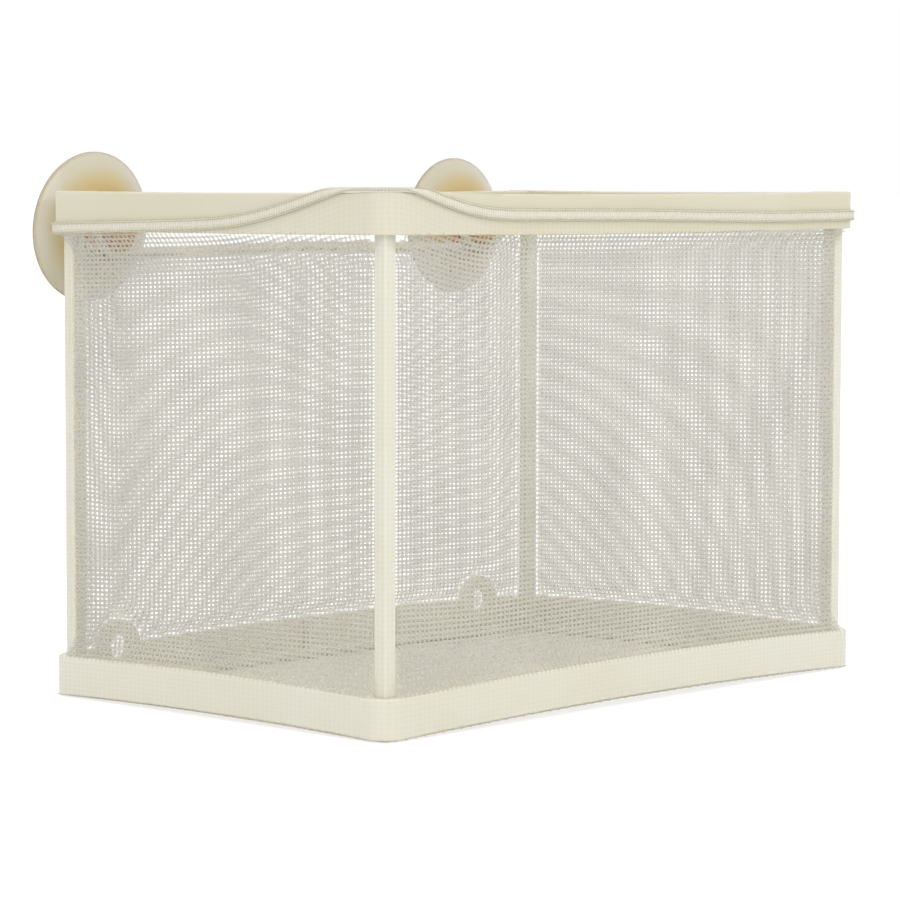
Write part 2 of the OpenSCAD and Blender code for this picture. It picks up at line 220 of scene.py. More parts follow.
@dataclass(frozen=True)
class NylonThread(Finish):
    """Flat off-white nylon yarn of the net, translucent, and all but lost on the plastic.

    Where the bag is stretched over a moulding, its threads are wetted out against the plastic
    and take its colour. The piece's "backed" attribute says where.
    """

    name: str = "nylon_net_thread"
    pale: str = "eceae3"
    grey: str = "e2e0da"
    backed: str = "efecdf"
    clear_open: float = 0.45
    clear_backed: float = 0.987
    patch_mm: float = 18.0
    fibre_mm: float = 0.4
    fibre_depth_mm: float = 0.02
    roughness: float = 0.45
    translucence: float = 0.4

    def surface(self, tree: NodeTree) -> Node:
        """Translucent fibre that clears where it is backed."""
        backing = add_node(tree, "ShaderNodeAttribute", attribute_name="backed").outputs["Fac"]
        open_colour = ramp(
            tree, noise(tree, self.patch_mm, 4.0), [(0.3, self.grey), (0.7, self.pale)])
        colour = add_node(
            tree, "ShaderNodeMix", {"B": srgb(self.backed)},
            {"Factor": backing, "A": open_colour}, data_type="RGBA").outputs["Result"]
        fibre = bump(tree, noise(tree, self.fibre_mm), 0.2, self.fibre_depth_mm)
        shader = add_node(
            tree, "ShaderNodeBsdfPrincipled",
            {"IOR": 1.5, "Roughness": self.roughness, "Specular IOR Level": 0.25},
            {"Base Color": colour, "Normal": fibre})
        glow = add_node(tree, "ShaderNodeBsdfTranslucent", links={"Color": colour})
        body = add_node(
            tree, "ShaderNodeMixShader", {"Fac": self.translucence},
            {1: shader.outputs[0], 2: glow.outputs[0]})
        share = add_node(
            tree, "ShaderNodeMapRange", {"To Min": self.clear_open, "To Max": self.clear_backed},
            {"Value": backing})
        see_through = add_node(tree, "ShaderNodeBsdfTransparent")
        return add_node(
            tree, "ShaderNodeMixShader",
            links={"Fac": share.outputs["Result"], 1: body.outputs[0], 2: see_through.outputs[0]})


@dataclass(frozen=True)
class ElasticCore(Finish):
    """Elastic and turned-in net inside the hem: pale, matt and soft-edged."""

    name: str = "elastic_in_folded_net"
    pale: str = "f2eee0"
    shade: str = "ece7d5"
    crimp_mm: float = 1.1
    roughness: float = 0.75
    translucence: float = 0.1

    def surface(self, tree: NodeTree) -> Node:
        """Matt, with a little light coming through."""
        colour = ramp(tree, noise(tree, self.crimp_mm), [(0.35, self.shade), (0.65, self.pale)])
        shader = add_node(
            tree, "ShaderNodeBsdfPrincipled", {"IOR": 1.5, "Roughness": self.roughness},
            {"Base Color": colour})
        glow = add_node(tree, "ShaderNodeBsdfTranslucent", links={"Color": colour})
        return add_node(
            tree, "ShaderNodeMixShader", {"Fac": self.translucence},
            {1: shader.outputs[0], 2: glow.outputs[0]})


@dataclass(frozen=True)
class SewingThread(Finish):
    """Spun polyester sewing thread, painted darker than the net all along: painted shade for the
    dark needle holes where it sinks in.
    """

    name: str = "polyester_sewing_thread"
    # Both colours are set darker than the net as painted shade of the needle holes.
    pale: str = "dcd6bb"
    dark: str = "c6bd97"
    twist_mm: float = 0.6
    roughness: float = 0.7

    def surface(self, tree: NodeTree) -> Node:
        """Matt, with a shade that changes along the twist."""
        colour = ramp(tree, noise(tree, self.twist_mm), [(0.35, self.dark), (0.65, self.pale)])
        return add_node(
            tree, "ShaderNodeBsdfPrincipled", {"Roughness": self.roughness},
            {"Base Color": colour})


@dataclass(frozen=True)
class SoftVinyl(Finish):
    """Plasticised PVC, turned yellow: cloudy and glossy, amber where it is thick."""

    name: str = "soft_vinyl_yellowed"
    lip: str = "cbbf9f"
    thin: str = "e2ddc9"
    middle: str = "e2d09a"
    thick: str = "dca846"
    flow_mm: float = 9.0
    flow_depth_mm: float = 0.4
    roughness: float = 0.16

    def surface(self, tree: NodeTree) -> Node:
        """Cloudy gloss, coloured by the piece's own "thickness" attribute."""
        thick = add_node(tree, "ShaderNodeAttribute", attribute_name="thickness")
        colour = ramp(
            tree, thick.outputs["Fac"],
            [(0.0, self.lip), (0.05, self.thin), (0.18, self.thin), (0.45, self.middle),
             (1.0, self.thick)])
        flow = bump(tree, noise(tree, self.flow_mm, 3.0), 0.2, self.flow_depth_mm)
        return add_node(
            tree, "ShaderNodeBsdfPrincipled",
            {"IOR": 1.53, "Roughness": self.roughness, "Transmission Weight": 0.45,
             "Subsurface Weight": 0.3, "Subsurface Scale": 2.0 * MM,
             "Subsurface Radius": (1.0, 0.7, 0.3)},
            {"Base Color": colour, "Normal": flow})


# ---- mesh tools -----------------------------------------------------------------------------


def mesh_object(name: str, bm: BMesh, material: Material, smooth: bool = True) -> Object:
    """Turn a bmesh, in metres, into an object in the scene.

    Args:
        name: the piece's name.
        bm: the shape; it is freed.
        material: its finish.
        smooth: whether its faces are shaded smooth.

    Returns:
        The new object.
    """
    mesh = bpy.data.meshes.new(name)
    bm.to_mesh(mesh)
    bm.free()
    if smooth:
        mesh.shade_smooth()
    mesh.materials.append(material)
    piece = bpy.data.objects.new(name, mesh)
    bpy.context.scene.collection.objects.link(piece)
    return piece


def thread_mesh(
    stations: Sequence[float], width: float, thickness: float, level: bool
) -> Mesh:
    """One straight closed flat thread.

    Args:
        stations: distances along the thread at which it has a ring of points, in mm.
        width: its width in the plane of the net, in mm.
        thickness: its thickness through the net, in mm.
        level: whether it runs along X; otherwise it runs up Z.

    Returns:
        A mesh in millimetres, with Y through the net.
    """
    bm = bmesh.new()
    bmesh.ops.create_circle(bm, cap_ends=True, segments=4, radius=1 / math.sqrt(2))
    bmesh.ops.rotate(bm, verts=bm.verts, matrix=Matrix.Rotation(math.pi / 4, 3, "Z"))
    bmesh.ops.scale(bm, verts=bm.verts, vec=(width, thickness, 1))
    bmesh.ops.translate(bm, verts=bm.verts, vec=(0, 0, stations[0]))
    ring = bm.faces[:]
    for low, high in zip(stations, stations[1:]):
        grown = bmesh.ops.extrude_face_region(bm, geom=ring)["geom"]
        if low > stations[0]:
            bmesh.ops.delete(bm, geom=ring, context="FACES_ONLY")
        ring = [g for g in grown if isinstance(g, BMFace)]
        verts = [g for g in grown if isinstance(g, BMVert)]
        bmesh.ops.translate(bm, verts=verts, vec=(0, 0, high - low))
    if level:
        bmesh.ops.rotate(bm, verts=bm.verts, matrix=Matrix.Rotation(math.pi / 2, 3, "Y"))
    bmesh.ops.recalc_face_normals(bm, faces=bm.faces)
    mesh = bpy.data.meshes.new("thread")
    bm.to_mesh(mesh)
    bm.free()
    return mesh


def repeated(mesh: Mesh, count: int, offset: Vector) -> BMesh:
    """Repeat a mesh at a constant offset.

    Args:
        mesh: the mesh to repeat.
        count: how many copies there are.
        offset: the step from one copy to the next.

    Returns:
        A bmesh of all the copies.
    """
    maker = bpy.data.objects.new("repeat", mesh)
    bpy.context.scene.collection.objects.link(maker)
    array = maker.modifiers.new("array", "ARRAY")
    array.use_relative_offset = False
    array.use_constant_offset = True
    array.count = count
    array.constant_offset_displace = offset
    evaluated = maker.evaluated_get(bpy.context.evaluated_depsgraph_get())
    bm = bmesh.new()
    bm.from_mesh(evaluated.to_mesh())
    evaluated.to_mesh_clear()
    bpy.data.objects.remove(maker)
    return bm


def warp(bm: BMesh, mapping: Callable[[np.ndarray], np.ndarray]) -> None:
    """Move every point of a shape.

    Args:
        bm: the shape.
        mapping: takes an n by 3 array of points and gives their new places.
    """
    mesh = bpy.data.meshes.new("warp")
    bm.to_mesh(mesh)
    points = np.empty(len(mesh.vertices) * 3, np.float32)
    mesh.vertices.foreach_get("co", points)
    moved = mapping(points.reshape(-1, 3).astype(float))
    mesh.vertices.foreach_set("co", moved.astype(np.float32).ravel())
    bm.clear()
    bm.from_mesh(mesh)
    bpy.data.meshes.remove(mesh)


def ring_band(
    stations: int,
    sides: int,
    mapping: Callable[[np.ndarray, np.ndarray], np.ndarray],
    weld_mm: float = 0.0005,
) -> BMesh:
    """Band or cord that runs round in a ring: a grid, bent until its edges meet.

    Args:
        stations: how many steps there are along the ring.
        sides: how many faces there are round the section.
        mapping: takes shares along the ring and round the section, from 0 to 1, and gives
            points in metres.
        weld_mm: how near points have to be to become one.

    Returns:
        The band, in metres.
    """
    bm = bmesh.new()
    bmesh.ops.create_grid(bm, x_segments=stations, y_segments=sides, size=0.5)
    warp(bm, lambda points: mapping(*np.mod(points[:, :2] + 0.5, 1 - HAIR).T))
    bmesh.ops.remove_doubles(bm, verts=bm.verts, dist=weld_mm * MM)
    bmesh.ops.recalc_face_normals(bm, faces=bm.faces)
    return bm


def mark(piece: Object, name: str, values: np.ndarray) -> None:
    """Give each point of a piece a value that its finish reads.

    Args:
        piece: the piece.
        name: the attribute's name.
        values: one value for each point.
    """
    attribute = piece.data.attributes.new(name, "FLOAT", "POINT")
    attribute.data.foreach_set("value", values.astype(np.float32))


# ---- shape of the box -----------------------------------------------------------------------


class Side(Enum):
    """The four walls, in order round the box."""

    FRONT = 0
    RIGHT = 1
    BACK = 2
    LEFT = 3


@dataclass
class BoxShape:
    """Sizes of the frames and posts that the bag follows, in mm."""

    half_l: float
    half_d: float
    top: float
    base: float = 0.5
    rim_h: float = 9.2
    corner_r: float = 5.5
    post_inset: float = 2.9
    post_w: float = 3.5
    post_edge: float = 0.5
    fade: float = 0.8
    flare_h: float = 5.2
    eye_x: float = 65.0
    eye_z: float = 9.4
    eye_r: float = 6.8
    eye_hole_r: float = 3.1
    eye_drape: float = 5.0
    low_bow_long: float = 1.5
    low_bow_short: float = 0.9
    high_bow_long: float = 0.5
    high_bow_short: float = 0.2

    @classmethod
    def from_frame(cls) -> "BoxShape":
        """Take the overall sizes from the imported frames."""
        low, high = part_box("bottom_frame"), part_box("top_frame")
        return cls(half_l=high[1].x / MM, half_d=-low[0].y / MM, top=high[1].z / MM)

    def half_along(self, side: Side) -> float:
        """Half the length of a side."""
        return self.half_l if side in (Side.FRONT, Side.BACK) else self.half_d

    def half_out(self, side: Side) -> float:
        """Distance of a side from the middle of the box."""
        return self.half_d if side in (Side.FRONT, Side.BACK) else self.half_l

    def bows(self, side: Side, u: np.ndarray) -> tuple[np.ndarray, np.ndarray]:
        """Rise of the bottom rail and sag of the top rail along a side.

        Args:
            side: the wall.
            u: place along it, from -1 to 1.

        Returns:
            The rise and the sag, in mm.
        """
        long_side = side in (Side.FRONT, Side.BACK)
        shape = np.clip(1 - u * u, 0, 1)
        low = self.low_bow_long if long_side else self.low_bow_short
        high = self.high_bow_long if long_side else self.high_bow_short
        return low * shape, high * shape


@dataclass
class HemLine:
    """Where the hem's lower edge runs round the box, in mm below the top face.

    At the front left corner it has ridden up and lies in over the top face, which counts as a
    drop below zero. From there it comes down both sides in a quarter sine.
    """

    shape: BoxShape
    width: float = 2.7
    on_top: float = -0.1
    over_corner: float = -0.9
    front_mid: float = 6.7
    front_low: float = 7.5
    front_low_at: float = 36.0
    front_right: float = 7.2
    back_right: float = 9.4
    back_left: float = 10.1
    back_rise: float = 1.1
    collar_r: float = 4.2
    collar_gap: float = 0.3
    front_climb: tuple[float, float, float] = (2.5, 32.0, 6.4)
    left_climb: tuple[float, float, float] = (7.5, 47.0, 8.9)
    soften: float = 2.5
    soften_steps: int = 12
    step: float = 0.5

    def __post_init__(self) -> None:
        """Lay the whole line out along the rim and soften its corners."""
        s = self.shape
        run_l, run_d = s.half_l - s.corner_r, s.half_d - s.corner_r
        neck = s.eye_z + self.collar_r + self.collar_gap + self.width
        eye = [(reach - s.eye_x, neck) for reach in (-self.collar_r, self.collar_r)]
        lines = {
            Side.FRONT: [(-run_l, self.over_corner), *self.climb(run_l, self.front_climb),
                         (0, self.front_mid), (s.half_l - self.front_low_at, self.front_low),
                         (run_l, self.front_right)],
            Side.RIGHT: [(-run_d, self.front_right), (run_d, self.back_right)],
            Side.BACK: [(-run_l, self.back_right), *eye, (0, neck - self.back_rise),
                        *[(-x, drop) for x, drop in reversed(eye)], (run_l, self.back_left)],
            Side.LEFT: [(-run_d, self.back_left),
                        *[(-y, drop) for y, drop in reversed(self.climb(run_d, self.left_climb))],
                        (run_d, self.over_corner)],
        }
        places = [self.middle(side) + x for side, line in lines.items() for x, _ in line]
        drops = [drop for line in lines.values() for _, drop in line]
        self.around = self.start(Side.FRONT, lap=1)
        count = int(self.around / self.step)
        grid = np.arange(count) * self.around / count
        raw = np.interp(grid, places, drops, period=self.around)
        offsets = np.arange(-self.soften_steps, self.soften_steps + 1)
        kernel = np.exp(-0.5 * (offsets * self.step / self.soften) ** 2)
        rows = [np.roll(raw, k) * w for k, w in zip(offsets, kernel)]
        self._grid, self._drop = grid, sum(rows) / kernel.sum()

    def climb(self, run: float, rise: tuple[float, float, float]) -> list[tuple[float, float]]:
        """The hem's way down from the top face.

        Args:
            run: half the straight length of the side.
            rise: where it starts beside the rounded corner, its length, and the drop at its foot.

        Returns:
            (place from the side's middle, drop) pairs, from the corner on.
        """
        start, length, drop = rise
        return [(start - run + length * i / 4,
                 self.on_top + (drop - self.on_top) * math.sin(math.pi / 8 * i))
                for i in range(5)]

    def start(self, side: Side, lap: int = 0) -> float:
        """Distance round the rim at which a side's outer corner lies.

        The corner arcs are shorter than the sharp corners, so each corner counts as the arc.
        """
        s = self.shape
        cut = 2 * s.corner_r - s.corner_r * math.pi / 2
        total = 0.0
        for k in range(side.value + 4 * lap):
            total += 2 * s.half_along(Side(k % 4)) - cut
        return total

    def middle(self, side: Side) -> float:
        """Distance round the rim of the middle of a side."""
        s = self.shape
        return self.start(side) + s.half_along(side)

    def drop(self, place: np.ndarray) -> np.ndarray:
        """Drop of the hem's lower edge at distances round the rim, in mm."""
        return np.interp(place, self._grid, self._drop, period=self.around)


@dataclass
class BagSurface:
    """The surface that the net lies on, as places on a side and heights up the wall."""

    shape: BoxShape
    hem: HemLine
    least_lift: float = 0.05
    least_radius: float = 0.3

    def hold(self, side: Side, u: np.ndarray, height: np.ndarray) -> np.ndarray:
        """How far the frames hold the net out, from 1 on them to 0 in the plane of the posts."""
        s = self.shape
        rise, sag = s.bows(side, u)
        rim = self.half_rim(side)
        place = self.hem.middle(side) + u * rim
        low = s.base + s.rim_h + rise
        high = np.minimum(s.top - s.rim_h - sag, s.top - self.hem.drop(place))
        up = np.clip((height - low) / s.flare_h, 0, 1)
        down = np.clip((high - height) / s.flare_h, 0, 1)
        hold = np.maximum((1 - up) ** 2, (1 - down) ** 2)
        if side is Side.BACK:
            x = -u * rim
            for eye_x in (-s.eye_x, s.eye_x):
                for eye_z in (s.base + s.eye_z, s.top - s.eye_z):
                    away = np.hypot(x - eye_x, height - eye_z) - s.eye_r
                    hold = np.maximum(hold, (1 - np.clip(away / s.eye_drape, 0, 1)) ** 2)
        return hold

    def backing(self, side: Side, u: np.ndarray, height: np.ndarray) -> np.ndarray:
        """Where the net lies on a rail, an eye's ring or a post, from 0 in the open to 1."""
        s = self.shape
        rise, sag = s.bows(side, u)
        corner = s.half_along(side) - s.post_inset
        on_rail = np.maximum(s.base + s.rim_h + rise - height, height - s.top + s.rim_h + sag)
        depth = np.maximum(on_rail, np.abs(u) * corner - corner + s.post_w)
        if side is Side.BACK:
            for eye_x in (-s.eye_x, s.eye_x):
                away = np.hypot(-u * self.half_rim(side) - eye_x, height - s.base - s.eye_z)
                depth = np.maximum(depth, s.eye_r - away)
                depth = np.minimum(depth, away - s.eye_hole_r)
        return np.clip(1 + depth / s.fade, 0, 1)

    def half_rim(self, side: Side) -> float:
        """Half the length of a side from mitre to mitre, round its two half corners."""
        s = self.shape
        return s.half_along(side) - s.corner_r + s.corner_r * math.pi / 4

    def place(
        self, side: Side, u: np.ndarray, height: np.ndarray, lift: np.ndarray
    ) -> np.ndarray:
        """Point on or over the bag.

        Args:
            side: the wall.
            u: place along the wall, from -1 at its first mitre to 1 at its last.
            height: height up the wall in mm; past the top edge it goes on inwards.
            lift: distance out from the surface.

        Returns:
            n by 3 array of points in mm.
        """
        s = self.shape
        past = np.maximum(height - s.top, 0)
        hold = self.hold(side, u, np.minimum(height, s.top))
        inward = s.post_inset * (1 - hold)
        edge = np.maximum(lift, self.least_lift)
        turn = np.clip(past / edge, 0, math.pi / 2)
        flat = np.maximum(past - edge * math.pi / 2, 0)
        out = np.cos(turn) * lift - inward - flat
        z = np.minimum(height, s.top) + np.sin(turn) * lift * (past > 0)
        bend = s.post_edge + (s.corner_r - s.post_edge) * hold
        radius = np.maximum(bend + out + inward * (1 - hold), self.least_radius)
        straight = s.half_along(side) + out - radius
        reach = np.abs(u) * (straight + radius * math.pi / 4)
        angle = np.maximum(reach - straight, 0) / radius
        along = np.where(reach < straight, reach, straight + radius * np.sin(angle))
        depth = s.half_out(side) + out - radius * (1 - np.cos(angle))
        along = along * np.sign(u)
        x, y = {
            Side.FRONT: (along, -depth), Side.RIGHT: (depth, along),
            Side.BACK: (-along, depth), Side.LEFT: (-depth, -along),
        }[side]
        return np.stack([x, y, z], -1)


# ---- net bag --------------------------------------------------------------------------------


@dataclass
class Weave:
    """Plain open weave of flat threads: the level ones straight, the upright ones over and under.

    Sizes are in mm.
    """

    width: float = 0.58
    thickness: float = 0.12
    crimp: float = 0.07
    unevenness: float = 0.025
    seed: int = 11

    def cloth(
        self, size: tuple[float, float], pitch: tuple[float, float], stations: Sequence[float]
    ) -> BMesh:
        """Flat cloth centred on X, with Z up from zero and Y through it.

        Args:
            size: its width and height.
            pitch: the spacing of its upright and of its level threads.
            stations: distances along a level thread at which it can bend.

        Returns:
            The woven threads, in mm.
        """
        across, up = size
        columns, rows = round(across / pitch[0]), round(up / pitch[1])
        dx, dz = across / columns, up / rows
        upright = repeated(
            thread_mesh([dz * k for k in range(rows + 1)], self.width, self.thickness, False),
            columns, Vector((dx, 0, 0)))
        bmesh.ops.translate(upright, verts=upright.verts, vec=((dx - across) / 2, 0, 0))
        level = repeated(
            thread_mesh(stations, self.width, self.thickness, True), rows, Vector((0, 0, dz)))
        bmesh.ops.translate(level, verts=level.verts, vec=(-across / 2, 0, dz / 2))
        rng = np.random.default_rng(self.seed)
        column_shift = rng.normal(0, self.unevenness, columns + 1)
        row_shift = rng.normal(0, self.unevenness, rows + 1)

        def interlace(points: np.ndarray) -> np.ndarray:
            """Carry each upright thread over and under the level ones."""
            column = np.clip(((points[:, 0] + across / 2) / dx).astype(int), 0, columns)
            row = np.round(points[:, 2] / dz).astype(int)
            points[:, 1] += self.crimp * np.where((column + row) % 2, 1, -1)
            points[:, 0] += column_shift[column]
            return points

        def unsettle(points: np.ndarray) -> np.ndarray:
            """Let each level thread sit a little off its place."""
            row = np.clip((points[:, 2] / dz).astype(int), 0, rows)
            points[:, 2] += row_shift[row]
            return points

        warp(upright, interlace)
        warp(level, unsettle)
        mesh = bpy.data.meshes.new("level")
        level.to_mesh(mesh)
        level.free()
        upright.from_mesh(mesh)
        bpy.data.meshes.remove(mesh)
        return upright


@dataclass
class NetBag:
    """Fine open net, woven from single threads, as five panels of one bag."""

    surface: BagSurface
    finish: Material
    lightened_floor_finish: Material
    weave: Weave
    pitch: tuple[float, float] = (1.5, 1.15)
    lift: float = 0.22
    tuck: float = 1.2
    slack: float = 0.15
    waves: tuple[float, float] = (9.0, 13.0)
    pressed: float = 0.5
    end_step: float = 0.6
    end_steps: int = 10

    def build(self) -> None:
        for side in Side:
            self.wall(side)
        self.floor()

    def wall(self, side: Side) -> None:
        """One upright panel, from the floor's edge up into the hem."""
        s, surface = self.surface.shape, self.surface
        half = surface.half_rim(side)
        height = s.top - s.base
        ends = [self.end_step * k for k in range(self.end_steps)]
        inner = list(np.linspace(ends[-1], 2 * half - ends[-1], round(half / self.pitch[0])))
        bm = self.weave.cloth(
            (2 * half, height), self.pitch,
            ends + inner[1:-1] + [2 * half - e for e in reversed(ends)])
        backed = []

        def drape(points: np.ndarray) -> np.ndarray:
            """Lay the flat net on the side of the bag."""
            u = np.clip(points[:, 0] / half, -1, 1)
            rise, _ = s.bows(side, u)
            foot = self.lift + rise
            head = s.top - surface.hem.drop(surface.hem.middle(side) + u * half) + self.tuck
            level = foot + points[:, 2] / height * (head - foot)
            held = surface.backing(side, u, level)
            backed.append(held)
            wave = (np.sin(points[:, 0] / self.waves[0] + 1)
                    * np.sin(points[:, 2] / self.waves[1] + side.value))
            through = points[:, 1] * (1 - self.pressed * held)
            lift = self.lift + through + self.slack * wave * (1 - held)
            return surface.place(side, u, level, lift) * MM

        warp(bm, drape)
        name = f"net_{side.name.lower()}"
        piece = mesh_object(f"woven_{name}", bm, self.finish, smooth=False)
        mark(piece, "backed", backed[0])
        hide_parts(name)
        self.declare(piece)

    def floor(self) -> None:
        """The panel under the bottom frame."""
        s = self.surface.shape
        wide, deep = 2 * (s.half_l + self.lift), 2 * (s.half_d + self.lift)
        bm = self.weave.cloth(
            (wide, deep), self.pitch, list(np.linspace(0, wide, round(wide / self.pitch[0]))))
        radius = s.corner_r + self.lift

        def lay(points: np.ndarray) -> np.ndarray:
            """Lay the net under the rails, rising with their bow."""
            x, y = points[:, 0], points[:, 2] - deep / 2
            side_x, side_y = np.clip(x / s.half_l, -1, 1), np.clip(y / s.half_d, -1, 1)
            long_rise = s.low_bow_long * (1 - side_x**2) * side_y**2
            short_rise = s.low_bow_short * (1 - side_y**2) * side_x**2
            over_x = np.clip((np.abs(x) - wide / 2 + radius) / radius, 0, 1)
            over_y = np.clip((np.abs(y) - deep / 2 + radius) / radius, 0, 1)
            pinch = 1 - (1 - 1 / math.sqrt(2)) * np.minimum(over_x, over_y)
            fold = np.maximum(over_x, over_y) > 0
            corner_x = np.sign(x) * (wide / 2 - radius)
            corner_y = np.sign(y) * (deep / 2 - radius)
            x = np.where(fold, corner_x + (x - corner_x) * pinch, x)
            y = np.where(fold, corner_y + (y - corner_y) * pinch, y)
            z = s.base - self.lift + long_rise + short_rise + points[:, 1]
            return np.stack([x, y, z], -1) * MM

        warp(bm, lay)
        # The floor panel takes the lighter copy of the thread: painted light against the shade
        # under the box.
        piece = mesh_object("woven_net_floor", bm, self.lightened_floor_finish, smooth=False)
        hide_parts("net_floor")
        self.declare(piece)

    def declare(self, piece: Object) -> None:
        """Put a stretched panel in the basket's body and log it.

        Args:
            piece: the panel.
        """
        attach(piece, BASKET)
        LOG.info("wove %s", piece.name)


@dataclass
class Hem:
    """Mouth of the bag: net folded round an elastic and held by two rows of stitches."""

    surface: BagSurface
    net: Material
    core: Material
    sewing: Material
    weave: Weave
    pitch: tuple[float, float] = (0.75, 0.62)
    thickness: float = 0.75
    under: float = 0.2
    bed: float = 0.12
    backing: float = 0.93
    station: float = 1.5
    stitch: float = 0.8
    row_inset: float = 0.35
    sides: int = 14
    square: tuple[float, float] = (0.5, 0.7)
    pucker: float = 0.08
    pucker_rates: tuple[float, float] = (1.1, 0.37)
    thread_r: tuple[float, float] = (0.1, 0.07)
    dips: tuple[float, ...] = (-0.3, -0.12, 0.06, -0.12)

    def build(self) -> None:
        """Build the elastic core, the net folded round it and the stitching."""
        core = self.elastic()
        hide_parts("hem_elastic")
        net = self.folded_net()
        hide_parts("net_hem")
        upper = self.stitches("hem_stitches_upper", self.surface.hem.width - self.row_inset)
        lower = self.stitches("hem_stitches_lower", self.row_inset)
        for piece in (core, net, upper, lower):
            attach(piece, BASKET)
            LOG.info("sewed %s", piece.name)

    def locate(self, place: np.ndarray, up: np.ndarray, lift: np.ndarray) -> np.ndarray:
        """Point on the hem.

        Args:
            place: distance round the rim.
            up: distance up from the hem's lower edge.
            lift: distance out from the bag's surface.

        Returns:
            n by 3 array of points in metres.
        """
        surface, hem = self.surface, self.surface.hem
        height = surface.shape.top - hem.drop(place) + up
        result = np.zeros((len(place), 3))
        for side in Side:
            half = surface.half_rim(side)
            gap = (place - hem.middle(side) + hem.around / 2) % hem.around - hem.around / 2
            here = np.abs(gap) <= half + HAIR
            result[here] = surface.place(side, gap[here] / half, height[here], lift[here])
        return result * MM

    def wrap(self, place: np.ndarray, turn: np.ndarray, proud: np.ndarray) -> np.ndarray:
        """Point on or over the hem's section, which puckers along the elastic.

        The section is rounded outside and nearly flat where it is pressed on the bag.

        Args:
            place: distance round the rim.
            turn: share of the way round the section, from its lower edge outwards.
            proud: distance out from the section.

        Returns:
            n by 3 array of points in metres.
        """
        width = self.surface.hem.width
        cosine, sine = np.cos(turn * 2 * math.pi), np.sin(turn * 2 * math.pi)
        flat = np.sign(cosine) * np.abs(cosine) ** self.square[0]
        full = np.sign(sine) * np.abs(sine) ** self.square[1]
        ripple = np.sin(place * self.pucker_rates[0]) * np.sin(place * self.pucker_rates[1])
        swell = (1 - self.bed) * (1 - self.pucker + self.pucker * ripple)
        up = width / 2 - (width / 2 + proud) * flat
        reach = self.thickness * np.where(full > 0, swell, self.bed)
        lift = self.under + self.bed * self.thickness + (reach + proud) * full
        return self.locate(place, up, lift)

    def elastic(self) -> Object:
        """The elastic with the turned-in edge of the net, just inside the fold."""
        around = self.surface.hem.around
        bm = ring_band(
            round(around / self.station), self.sides,
            lambda along, turn: self.wrap(
                along * around, turn, np.full(len(turn), -0.5 * self.weave.thickness)))
        return mesh_object("elastic_in_hem", bm, self.core)

    def folded_net(self) -> Object:
        """Net wrapped round the elastic; its two layers halve the spacing of the threads."""
        around = self.surface.hem.around
        girth = 2 * (self.surface.hem.width + self.thickness)
        bm = self.weave.cloth(
            (around, girth), self.pitch,
            list(np.linspace(0, around, round(around / self.station))))
        proud = self.weave.thickness / 2 + self.weave.crimp
        warp(bm, lambda points: self.wrap(
            points[:, 0] + around / 2, points[:, 2] / girth, proud + points[:, 1]))
        piece = mesh_object("folded_net_hem", bm, self.net, smooth=False)
        mark(piece, "backed", np.full(len(piece.data.vertices), self.backing))
        return piece

    def stitches(self, name: str, inset: float) -> Object:
        """One row of lockstitch: a thread that dips into the hem at each needle hole.

        Args:
            name: the piece's name.
            inset: its distance up from the hem's lower edge, in mm.

        Returns:
            The row.
        """
        around = self.surface.hem.around
        dips = np.array(self.dips)
        count = round(around / self.stitch) * len(dips)
        crown = self.under + self.thickness + 2 * self.weave.crimp

        def run(along: np.ndarray, turn: np.ndarray) -> np.ndarray:
            """Run the thread over the hem's outer face."""
            step = np.round(along * count).astype(int) % len(dips)
            angle = turn * 2 * math.pi
            return self.locate(
                along * around, inset + self.thread_r[0] * np.cos(angle),
                crown + dips[step] + self.thread_r[1] * np.sin(angle))

        return mesh_object(name, ring_band(count, 4, run), self.sewing)


# ---- suction cups ---------------------------------------------------------------------------


